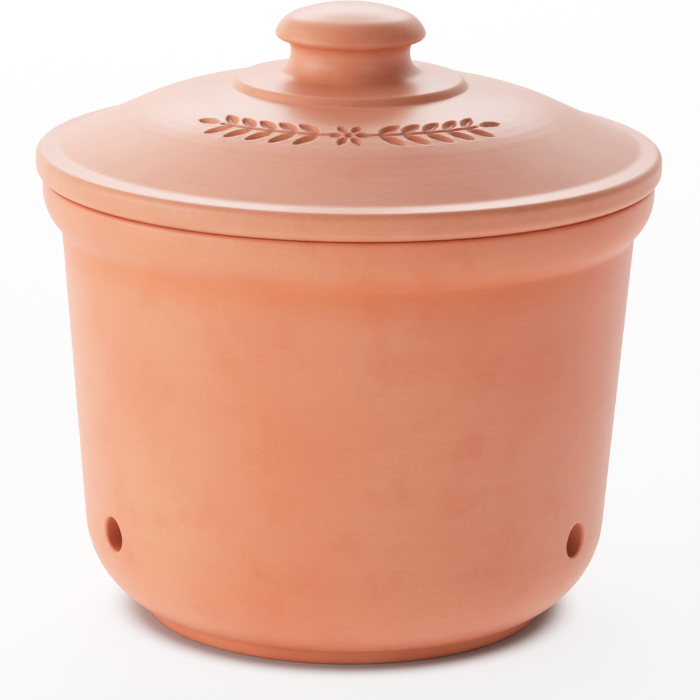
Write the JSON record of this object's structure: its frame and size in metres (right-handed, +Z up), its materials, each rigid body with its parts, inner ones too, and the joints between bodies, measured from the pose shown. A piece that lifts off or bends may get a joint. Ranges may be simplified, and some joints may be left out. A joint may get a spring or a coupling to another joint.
{
  "type": "ventilated storage pot",
  "caption": "Round unglazed terracotta storage pot with vent holes low in its wall and a domed lift-off lid with a mushroom knob.",
  "frame": {"origin": "centre of the foot ring, on the surface that the pot stands on", "axes": "+Z up along the axis that pot and lid are turned about; -Y is the front, where the lid's pressed leaf band is"},
  "size_m": [0.2, 0.2, 0.199],
  "materials": {
    "body_clay": "unglazed fired terracotta, matt",
    "lid_clay": "unglazed fired terracotta, matt"
  },
  "bodies": {
    "pot": {"pot": "body_clay"},
    "lid": {"lid": "lid_clay"}
  },
  "joints": [
    {"name": "lid_lift", "type": "slide", "parent": "pot", "child": "lid", "axis": [0, 0, 1], "range_m": [0, 0.08]}
  ]
}
